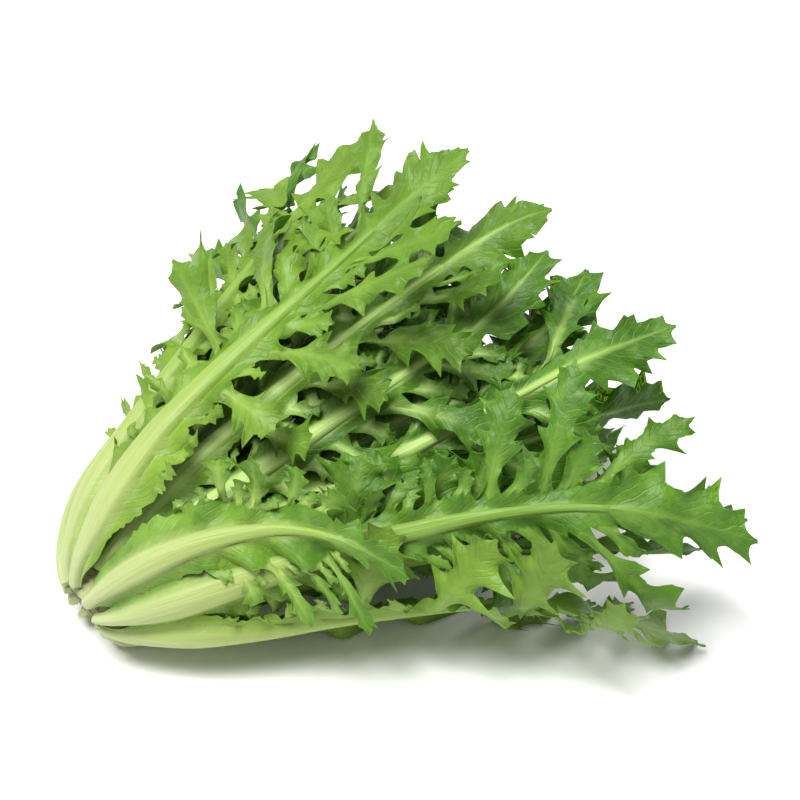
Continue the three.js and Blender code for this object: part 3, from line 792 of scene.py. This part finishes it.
# %% [markdown]
# ## From flat sheet to closed leaf
# `leaf_points` lays the flat places on the leaf's shell. The sheet then gets its thickness: the
# same quads outside and inside, and a thin wall round the rim. A Solidify modifier would do the
# same with one thickness, but a leaf is thick at the rib and thin at the margin. A closed leaf,
# rather than a single sheet, catches light on its edge and lets light through as a real one does.

# %% Bending and thickening
# Small steps along a shell (in millimetres) and round it (in radians), to find which way it faces.
NUDGE = 0.4
TURN = 0.01
# No point lies lower than this above the table, in millimetres.
LOWEST = 0.01


def leaf_points(leaf, reach, side, lift):
    """Places in millimetres of points that are given by reach, side and lift."""
    t = np.clip(reach / leaf["length"], 0, 1.3)
    layer = leaf["layer"] + leaf["shift"] * smooth(reach, 30, 90)
    line = math.radians(leaf["around"]) + leaf["drift"] * t * t
    line = line + leaf["sway"] * np.sin(2.2 * np.pi * t) * t
    angle = walk_around(reach, line, layer, side)
    point = shell_point(reach, angle, layer)
    along = shell_point(reach + NUDGE, angle, layer) - shell_point(reach - NUDGE, angle, layer)
    around = shell_point(reach, angle + TURN, layer) - shell_point(reach, angle - TURN, layer)
    outward = np.cross(around, along)
    outward /= np.linalg.norm(outward, axis=1)[:, None]
    point = point + outward * lift[:, None]
    point[:, 2] = BLADE_CLEARANCE + above_table(point[:, 2] - BLADE_CLEARANCE)
    return point


def sheet_normals(points, quads):
    diagonal_a = points[quads[:, 2]] - points[quads[:, 0]]
    diagonal_b = points[quads[:, 3]] - points[quads[:, 1]]
    face = np.cross(diagonal_a, diagonal_b)
    normals = np.zeros_like(points)
    for corner in range(4):
        for axis in range(3):
            normals[:, axis] += np.bincount(quads[:, corner], face[:, axis], len(points))
    return normals / np.maximum(np.linalg.norm(normals, axis=1), 1e-9)[:, None]


def rim_edges(quads):
    """Edges that belong to one quad only, in that quad's direction."""
    edges = np.concatenate([quads[:, [i, (i + 1) % 4]] for i in range(4)])
    low = edges.min(1).astype(np.int64)
    key = low * (quads.max() + 1) + edges.max(1)
    _, group, times = np.unique(key, return_inverse=True, return_counts=True)
    return edges[times[group] == 1]


def closed_leaf(sheet):
    points = leaf_points(sheet.leaf, sheet.field("reach"), sheet.field("side"), sheet.field("lift"))
    quads = np.concatenate(sheet.quads)
    normals = sheet_normals(points, quads)
    outside = points + normals * sheet.field("outer")[:, None]
    inside = points - normals * sheet.field("inner")[:, None]
    vertices = np.concatenate([outside, inside])
    vertices[:, 2] = np.maximum(vertices[:, 2], LOWEST)
    rim = rim_edges(quads)
    count = len(points)
    walls = np.stack([rim[:, 1], rim[:, 0], rim[:, 0] + count, rim[:, 1] + count], 1)
    return vertices, np.concatenate([quads, quads[:, ::-1] + count, walls])


print("vertices of the first leaf:", len(closed_leaf(leaf_sheet(LEAVES[0]))[0]))

# %% [markdown]
# ## Where the head lies in the frame
# The rules above are written with the root point over the table's zero. The frame's zero lies
# under the middle of the whole head. The step from one to the other could be copied as three
# numbers, but then it would be wrong after the next change. The root plug is in both, so the step
# is the difference between its box in the frame and its box by the rule.

# %% Root plug's rule and the shift
CORE_TILT = math.radians(18.5)
CORE_SIDES = 20
# Rings of the plug: distance along its axis from the cut, and radius.
CORE_PROFILE = [
    (-1.6, 10.4), (-1, 10.8), (0.4, 11.4), (3, 12.4), (9, 13.8),
    (16, 14), (23, 13), (30, 10.5), (36, 7), (39, 4),
]


def core_place(along, y, z):
    x = along * math.cos(CORE_TILT) - z * math.sin(CORE_TILT)
    return np.stack([x, y, ROOT_HEIGHT + along * math.sin(CORE_TILT) + z * math.cos(CORE_TILT)], -1)


def core_corner():
    angle = np.arange(CORE_SIDES) * 2 * np.pi / CORE_SIDES
    rings = [core_place(along, r * np.cos(angle), r * np.sin(angle)) for along, r in CORE_PROFILE]
    return np.concatenate(rings).min(0)


SHIFT = np.array(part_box("core")[0]) / MM - core_corner()
print("shift to the frame, mm:", SHIFT.round(2))

# %% [markdown]
# ## Colours and nodes
# Colours are written as they are picked on a screen, in sRGB hex, and one function turns them
# into the linear values that shaders work with. A node tree could be drawn by hand in the shader
# editor, but in code it can be read and changed. `add_node` makes a shader node, sets it, links
# it and hands back one of its outputs, so that nodes can be written one inside the other.


# %% Colour and node helpers
def colour(hex_code):
    channels = [int(hex_code[i:i + 2], 16) / 255 for i in (1, 3, 5)]
    linear = [c / 12.92 if c <= 0.04045 else ((c + 0.055) / 1.055) ** 2.4 for c in channels]
    return (*linear, 1.0)


def set_inputs(tree, node, inputs):
    """Gives each input its value, or links it where the value is another node's output."""
    for socket, value in inputs.items():
        if isinstance(value, bpy.types.NodeSocket):
            tree.links.new(value, node.inputs[socket])
        else:
            node.inputs[socket].default_value = value


def add_node(tree, kind, inputs, out=0, stops=(), **settings):
    """stops: places and hex colours of a colour ramp."""
    node = tree.nodes.new("ShaderNode" + kind)
    for name, value in settings.items():
        setattr(node, name, value)
    set_inputs(tree, node, inputs)
    for _ in stops[2:]:
        node.color_ramp.elements.new(0.5)
    for i, (place, hex_code) in enumerate(stops):
        node.color_ramp.elements[i].position = place
        node.color_ramp.elements[i].color = colour(hex_code)
    return node.outputs[out]


def new_material(name):
    material = bpy.data.materials.new(name)
    material.use_nodes = True
    return material, material.node_tree, material.node_tree.nodes["Principled BSDF"]


print("pale rib in linear light:", [round(c, 3) for c in colour("#dbe6b8")])

# %% [markdown]
# ## Veins, puffs and ridges
# Side veins leave the midvein at a slant every few millimetres, and between them the blade is
# slightly puffed. The rib has fine ridges along it. A painted picture could show them, but it
# would need unfolding each leaf. The marks on the points already say where along and across a
# vein each point lies, so the patterns follow the leaf through every bend.

# %% Leaf patterns
# Sizes in millimetres. On a real leaf side veins stand 4 to 8 apart, puffs are 2 to 4 wide, and
# darker patches 20 to 30. Its wax bloom is as fine as dust, and is drawn as 9 mm clouds so that
# it shows; the same pale clouds also paint a milky sheen. The ridges of a rib are under 1 apart, and are
# drawn nearly twice as wide to show.
VEIN_SPACING = 5.5
VEIN_WANDER = 14
PUFF_SIZE = 3.4
PATCH_SIZE = 22
BLOOM_AND_SHEEN_SIZE = 9
RIDGE_SPACING = 5 / 3
# How far a vein runs back along the leaf for each millimetre outward, the share of the spacing
# over which it fades, and how many times longer than wide a ridge is.
VEIN_SLANT = 1.15
VEIN_FADE = 0.11
RIDGE_STRETCH = 25
LEAF_MARKS = ("rib", "rim", "vein_along", "vein_across", "along", "upper_face", "tint")


def side_veins(tree, mark, place):
    """1 on a side vein, 0 between veins."""
    across = add_node(tree, "Math", {0: mark["vein_across"]}, operation="ABSOLUTE")
    slanted = {0: across, 1: -VEIN_SLANT, 2: mark["vein_along"]}
    slanted = add_node(tree, "Math", slanted, operation="MULTIPLY_ADD")
    value = add_node(tree, "TexNoise", {"Vector": place, "Scale": 1 / (VEIN_WANDER * MM)})
    for operation, *others in (
        ("MULTIPLY_ADD", VEIN_WANDER, slanted), ("DIVIDE", VEIN_SPACING), ("FRACT",), ("SUBTRACT", 0.5),
        ("ABSOLUTE",), ("MULTIPLY_ADD", -1 / VEIN_FADE, 1), ("MAXIMUM", 0),
    ):
        value = add_node(tree, "Math", dict(enumerate([value, *others])), operation=operation)
    return value


def rib_ridges(tree, mark):
    stretched = {0: mark["vein_along"], 1: RIDGE_STRETCH}
    stretched = add_node(tree, "Math", stretched, operation="DIVIDE")
    place = add_node(tree, "CombineXYZ", {"X": stretched, "Y": mark["vein_across"]})
    return add_node(tree, "TexNoise", {"Vector": place, "Scale": 1 / RIDGE_SPACING, "Detail": 2})


print("side veins on 100 mm of rib:", round(100 / VEIN_SPACING))

# %% [markdown]
# ## Leaf tissue
# A leaf is living tissue, full of water, under a thin skin of wax that grew on it. The wax gives
# the eye a soft satin gloss, rougher on the puffs. The tissue scatters light, and that gives the
# blade and the watery rib their glow. The colour goes from a nearly white rib foot to full green
# at the tips. The blade's green is laid on in thin coats, as a painter glazes: darker patches,
# pale clouds that are partly wax bloom and partly a painted milky sheen, pale veins, a deeper
# green on the upper face and at the margin, and a tint that differs from leaf to leaf. A single green would
# look like plastic.

# %% Leaf material
# Water bends light by 1.33 and wax by 1.44, and wet tissue under wax lies between them. Green
# light goes deepest into it, red less and blue hardly at all.
WATERY_TISSUE = {
    "IOR": 1.38, "Subsurface Weight": 0.25, "Subsurface Radius": (0.6, 1.0, 0.2),
    "Subsurface Scale": 1.5 * MM,
}
# The wax's roughness, and what a puff adds to it where the wax is rubbed off.
WAX_ROUGHNESS = 0.34
PUFF_ROUGHNESS = 0.3
# How far a vein sinks in, as a share of a puff's height, and the height itself.
VEIN_SINK = 0.28
RELIEF = 0.9 * MM


def mixed(tree, factor, strength, under, over):
    """One coat of colour: over lies on under where factor times strength says."""
    amount = add_node(tree, "Math", {0: factor, 1: strength}, operation="MULTIPLY")
    return add_node(tree, "Mix", {0: amount, 6: under, 7: over}, 2, data_type="RGBA")


def blade_coats(tree, mark, noise, veins, blade, rib):
    """The coats over the blade's plain green, each with the share that it covers at most."""
    darker = add_node(tree, "Mix", {0: 0.7, 6: blade, 7: colour("#28570c")}, 2, data_type="RGBA")
    patches = [(0.35, "#000000"), (0.7, "#ffffff")]
    bloom_and_sheen = [(0.5, "#000000"), (0.75, "#ffffff")]
    for factor, strength, coat in (
        (add_node(tree, "ValToRGB", {0: noise[PATCH_SIZE]}, stops=patches), 1, darker),
        # Pale clouds: partly the wax bloom, partly a painted milky sheen on the blade.
        (add_node(tree, "ValToRGB", {0: noise[BLOOM_AND_SHEEN_SIZE]}, stops=bloom_and_sheen), 0.38, colour("#82aa48")),
        (veins, 0.16, rib),
        (mark["upper_face"], 0.45, colour("#2f5909")),
        (mark["rim"], 0.25, colour("#437a18")),
        (mark["tint"], 0.35, colour("#8fa63a")),
    ):
        blade = mixed(tree, factor, strength, blade, coat)
    return blade


def leaf_material(name, rib_stops, blade_stops):
    material, tree, shader = new_material(name)
    mark = {key: add_node(tree, "Attribute", {}, "Fac", attribute_name=key) for key in LEAF_MARKS}
    place = add_node(tree, "TexCoord", {}, "Object")
    noise = {}
    for size, detail in ((PATCH_SIZE, 3), (PUFF_SIZE, 2), (BLOOM_AND_SHEEN_SIZE, 4)):
        scale = 1 / (size * MM)
        noise[size] = add_node(tree, "TexNoise", {"Vector": place, "Scale": scale, "Detail": detail})
    veins = side_veins(tree, mark, place)
    ridges = rib_ridges(tree, mark)
    rib = add_node(tree, "ValToRGB", {0: mark["along"]}, stops=rib_stops)
    blade = add_node(tree, "ValToRGB", {0: mark["along"]}, stops=blade_stops)
    furrows = add_node(tree, "ValToRGB", {0: ridges}, stops=[(0.4, "#ffffff"), (0.6, "#000000")])
    coated = blade_coats(tree, mark, noise, veins, blade, rib)
    green = mixed(tree, mark["rib"], 1, coated, mixed(tree, furrows, 0.22, rib, blade))
    puffed = {0: veins, 1: -VEIN_SINK, 2: noise[PUFF_SIZE]}
    puffed = add_node(tree, "Math", puffed, operation="MULTIPLY_ADD")
    height = add_node(tree, "Mix", {0: mark["rib"], 2: puffed, 3: ridges})
    bump = add_node(tree, "Bump", {"Height": height, "Strength": 0.7, "Distance": RELIEF})
    rough = {0: noise[PUFF_SIZE], 1: PUFF_ROUGHNESS, 2: WAX_ROUGHNESS}
    rough = add_node(tree, "Math", rough, operation="MULTIPLY_ADD")
    set_inputs(tree, shader, {"Base Color": green, "Normal": bump, "Roughness": rough, **WATERY_TISSUE})
    return material


print("marks that the leaf tissue reads:", len(LEAF_MARKS))

# %% [markdown]
# ## The leaves' colours
# Outer leaves saw the sun and are darker than the heart. Inner ones grew in their shade and have paler,
# yellower ribs, as in a head that was tied up to blanch it, and these ribs are made brighter still:
# painted light on ribs that lie in the head's shade. The blades of the second and third rings are the
# darkest of all, a painted shade for their depth in the head, and the heart's blades are the palest. Each
# colour stands at a share of the way from the root to where a leaf is fully green.

# %% Leaf colours
OUTER_RIB = [(0.05, "#b2ba8c"), (0.25, "#a5b26c"), (0.45, "#8ca74c"), (0.7, "#76983c"), (1, "#6e9034")]
OUTER_BLADE = [(0.1, "#8fad4a"), (0.3, "#74982f"), (0.55, "#557f1b"), (1, "#467013")]
# Ribs of inner and heart leaves: partly blanched paleness, partly painted light on ribs that lie in shade.
INNER_RIB_BLANCHED_AND_PAINTED_LIGHT = [(0.05, "#c2d88a"), (0.22, "#bcd880"), (0.34, "#b8d47c"), (0.5, "#b4d078"), (1, "#a0be64")]
# Darkest blades: painted shade for the depth of the second and third rings in the head.
INNER_BLADE_PAINTED_SHADE = [(0.1, "#9aba54"), (0.3, "#679024"), (0.6, "#46730f"), (1, "#39650c")]
HEART_BLADE = [(0.1, "#bccc74"), (0.3, "#98b550"), (0.6, "#7da03e"), (1, "#6a9436")]
MATERIALS = {
    "outer": leaf_material("outer leaf tissue under wax", OUTER_RIB, OUTER_BLADE),
    "second": leaf_material("inner leaf tissue under wax", INNER_RIB_BLANCHED_AND_PAINTED_LIGHT, INNER_BLADE_PAINTED_SHADE),
    "heart": leaf_material("young heart leaf tissue", INNER_RIB_BLANCHED_AND_PAINTED_LIGHT, HEART_BLADE),
}
MATERIALS["third"] = MATERIALS["second"]
print("materials:", sorted({material.name for material in MATERIALS.values()}))

# %% [markdown]
# ## Making the leaves
# Each leaf becomes one mesh object that replaces its plain solid. One mesh for the whole head
# would be quicker, but then no leaf could be taken off. The marks are written as attributes on
# the points, where the material reads them.

# %% Leaf objects
# Edges sharper than this stay sharp: the rim of a leaf, and the root's cut.
SHARP_RIM = math.radians(55)
# A leaf is fully green this far from the root, in millimetres.
FULL_GREEN_AT = 250
TINT_DRAWS = 9000


def new_object(name, vertices, faces, material):
    mesh = bpy.data.meshes.new(name)
    mesh.from_pydata(((vertices + SHIFT) * MM).tolist(), [], faces)
    mesh.materials.append(material)
    mesh.polygons.foreach_set("use_smooth", [True] * len(mesh.polygons))
    mesh.set_sharp_from_angle(angle=SHARP_RIM)
    piece = bpy.data.objects.new(name, mesh)
    bpy.context.collection.objects.link(piece)
    return piece


def add_mark(mesh, name, values):
    layer = mesh.attributes.new(name, "FLOAT", "POINT")
    layer.data.foreach_set("value", values.astype(np.float32))


def make_leaf(leaf):
    sheet = leaf_sheet(leaf)
    vertices, faces = closed_leaf(sheet)
    piece = new_object(f"fine_{leaf['name']}", vertices, faces.tolist(), MATERIALS[leaf["ring"]])
    for name in ("rib", "rim", "vein_along", "vein_across"):
        add_mark(piece.data, name, np.tile(sheet.field(name), 2))
    add_mark(piece.data, "along", np.tile(sheet.field("reach") / FULL_GREEN_AT, 2))
    add_mark(piece.data, "upper_face", np.repeat([0, 1], sheet.count))
    add_mark(piece.data, "tint", np.full(len(vertices), Draws(leaf["seed"] + TINT_DRAWS).draw() ** 2))
    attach(piece, "root")
    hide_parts(leaf["name"])
    return 2 * len(faces)


triangles = [make_leaf(leaf) for leaf in LEAVES]
print("triangles in the leaves:", sum(triangles), "most in one:", max(triangles))

# %% [markdown]
# ## Root plug
# The plug was cut with a knife and has dried since: the cut face is brown and grey, slightly
# sunken between tough fibre bundles that stand in rings. Its side is pale flesh with the scars of
# leaves that were stripped off. A lathed profile would be smooth, and bump alone would leave the
# edge of the cut a clean circle. So it is drawn as rings round the plug's own axis, each point
# moved by the fibres or scars there.

# %% Fine root plug
# Spacings and depths in millimetres. Real fibre bundles stand 0.5 apart, and are drawn coarser so
# that they show.
CORE_COLUMNS = 96
CUT_RINGS = 14
FIBRE_SPACING = 1.4
FIBRE_DEPTH = 0.22
SCAR_SPACING = 3.2
SCAR_DEPTH = 0.25


def core_stations():
    """Rings of the plug: distance along its axis, radius, and 1 on the cut face, 0 on the side."""
    cut_along, cut_radius = CORE_PROFILE[0]
    face = [(cut_along, cut_radius * (i + 1) / CUT_RINGS, 1.0) for i in range(CUT_RINGS)]
    along, radius = np.array(CORE_PROFILE).T
    side_along = np.arange(cut_along + 0.5, along[-1] + 0.1, 0.8)
    side = [(place, np.interp(place, along, radius), 0.0) for place in side_along]
    return face + side


def fine_core():
    angle = np.arange(CORE_COLUMNS) * 2 * np.pi / CORE_COLUMNS
    rings = []
    marks = []
    for along, radius, cut in core_stations():
        fibre = np.sin(2 * np.pi * radius / FIBRE_SPACING) + 0.8 * np.sin(17 * angle + radius) * radius / 10
        scar = np.sin(2 * np.pi * along / SCAR_SPACING + 2.6 * np.sin(angle * 3))
        sunk = cut * FIBRE_DEPTH * (fibre - 1.8)
        width = radius - (1 - cut) * SCAR_DEPTH * (1 + scar)
        rings.append(core_place(along - sunk, width * np.cos(angle), width * np.sin(angle)))
        marks += [(cut, radius)] * CORE_COLUMNS
    grid = np.arange(len(rings) * CORE_COLUMNS).reshape(len(rings), CORE_COLUMNS)
    grid = np.concatenate([grid, grid[:, :1]], 1)
    corners = [grid[:-1, :-1], grid[1:, :-1], grid[1:, 1:], grid[:-1, 1:]]
    faces = np.stack([corner.ravel() for corner in corners], 1).tolist()
    faces += [grid[0, :-1].tolist(), grid[-1, -2::-1].tolist()]
    return np.concatenate(rings), faces, np.array(marks)


print("rings of the root plug:", len(core_stations()))

# %% [markdown]
# ## Root flesh
# Chicory root is white inside and browns within an hour of the cut, as an apple does. Its dry
# fibres scatter light and have no gloss, so roughness is high and no light shines through. The
# brown deepens towards the edge, where the skin dried first. The grain's real fibres are a tenth
# of a millimetre wide, and it is drawn at 1.6 mm so that it shows.

# %% Root material
FLESH = [(0.2, "#a1967a"), (0.75, "#877b60"), (1, "#6b604a"), (1.25, "#554b3a")]
SKIN = [(0.3, "#8d9160"), (0.7, "#a9ad78")]
GRAIN_SIZE = 1.6


def core_material():
    material, tree, shader = new_material("cut root flesh, browned by air")
    mark = {key: add_node(tree, "Attribute", {}, "Fac", attribute_name=key) for key in ("cut", "radius")}
    place = add_node(tree, "TexCoord", {}, "Object")
    grain = add_node(tree, "TexNoise", {"Vector": place, "Scale": 1 / (GRAIN_SIZE * MM), "Detail": 4})
    outward = add_node(tree, "Math", {0: mark["radius"], 1: CORE_PROFILE[0][1]}, operation="DIVIDE")
    browned = add_node(tree, "Math", {0: grain, 1: 0.5, 2: outward}, operation="MULTIPLY_ADD")
    flesh = add_node(tree, "ValToRGB", {0: browned}, stops=FLESH)
    skin = add_node(tree, "ValToRGB", {0: grain}, stops=SKIN)
    bump = add_node(tree, "Bump", {"Height": grain, "Strength": 0.7, "Distance": 0.6 * MM})
    base = mixed(tree, mark["cut"], 1, skin, flesh)
    set_inputs(tree, shader, {"Base Color": base, "Normal": bump, "Roughness": 0.75})
    return material


core_vertices, core_faces, core_marks = fine_core()
core_piece = new_object("fine_core", core_vertices, core_faces, core_material())
add_mark(core_piece.data, "cut", core_marks[:, 0])
add_mark(core_piece.data, "radius", core_marks[:, 1])
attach(core_piece, "root")
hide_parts("core")
print("points in the root plug:", len(core_vertices))

# %% [markdown]
# ## Floor and sky
# The floor is a roll of matt white paper, as in a product studio. Paper has no gloss, so it is
# rough, and it is laid half a millimetre low so that nothing flickers where leaves touch it. The
# sky is an even white: it lights the shadows, so that they stay green.

# %% Floor and sky
FLOOR_SIZE = 14
bpy.ops.mesh.primitive_plane_add(size=FLOOR_SIZE, location=(0, 0, -0.5 * MM))
floor = bpy.context.object
floor.name = "studio_floor"
paper, paper_tree, paper_shader = new_material("matte white paper")
set_inputs(paper_tree, paper_shader, {"Base Color": colour("#f4f4f2"), "Roughness": 0.9})
floor.data.materials.append(paper)

world = bpy.data.worlds.new("studio_sky")
bpy.context.scene.world = world
world.use_nodes = True
sky = {"Color": (1, 1, 1, 1), "Strength": 0.38}
set_inputs(world.node_tree, world.node_tree.nodes["Background"], sky)
print("floor, m:", FLOOR_SIZE, "sky strength:", sky["Strength"])

# %% [markdown]
# ## Lights
# Two soft boxes, as a photographer would set them: the strong one high over the root, and a weak
# one low at the tips, which opens the shadows between the lobes. A sun or a spot would give hard
# shadows that hide the leaves behind. Each box is a metre wide.

# %% Lights
LIT_POINT = Vector((0, 0, 0.05))
LIGHT_SIZE = 1.0


def add_soft_light(name, place, power):
    light = bpy.data.lights.new(name, "AREA")
    light.size = LIGHT_SIZE
    light.energy = power
    lamp = bpy.data.objects.new(name, light)
    lamp.location = place
    lamp.rotation_euler = (LIT_POINT - lamp.location).to_track_quat("-Z", "Y").to_euler()
    bpy.context.collection.objects.link(lamp)


add_soft_light("soft_box", (-0.6, -0.05, 1.8), 55)
add_soft_light("fill", (1.5, 0.3, 0.7), 14)
print("lights:", len(bpy.data.lights))

# %% [markdown]
# ## Camera
# The camera looks down at the head from its near side, with the root to the left. Its place could
# be typed in as three coordinates. Two angles and a distance are easier to match to a picture,
# and they keep the head in the middle when one of them is changed.

# %% Camera
CAMERA_AZIMUTH = math.radians(-36)
CAMERA_ELEVATION = math.radians(38)
CAMERA_DISTANCE = 0.85
CAMERA_LENS = 86.93
# The point in the middle of the picture, in metres from the foot of the root.
FROM_ROOT = Vector((0.15495, -0.00992, 0.06603))

look_at = Vector((SHIFT * MM).tolist()) + FROM_ROOT
back = Vector((
    math.sin(CAMERA_AZIMUTH) * math.cos(CAMERA_ELEVATION),
    -math.cos(CAMERA_AZIMUTH) * math.cos(CAMERA_ELEVATION),
    math.sin(CAMERA_ELEVATION),
))
camera_data = bpy.data.cameras.new("camera")
camera_data.sensor_width = 36
camera_data.lens = CAMERA_LENS
camera = bpy.data.objects.new("camera", camera_data)
camera.location = look_at + back * CAMERA_DISTANCE
camera.rotation_euler = (-back).to_track_quat("-Z", "Y").to_euler()
bpy.context.collection.objects.link(camera)
bpy.context.scene.camera = camera
bpy.context.scene.view_settings.view_transform = "Standard"
print("camera, m:", [round(c, 3) for c in camera.location])
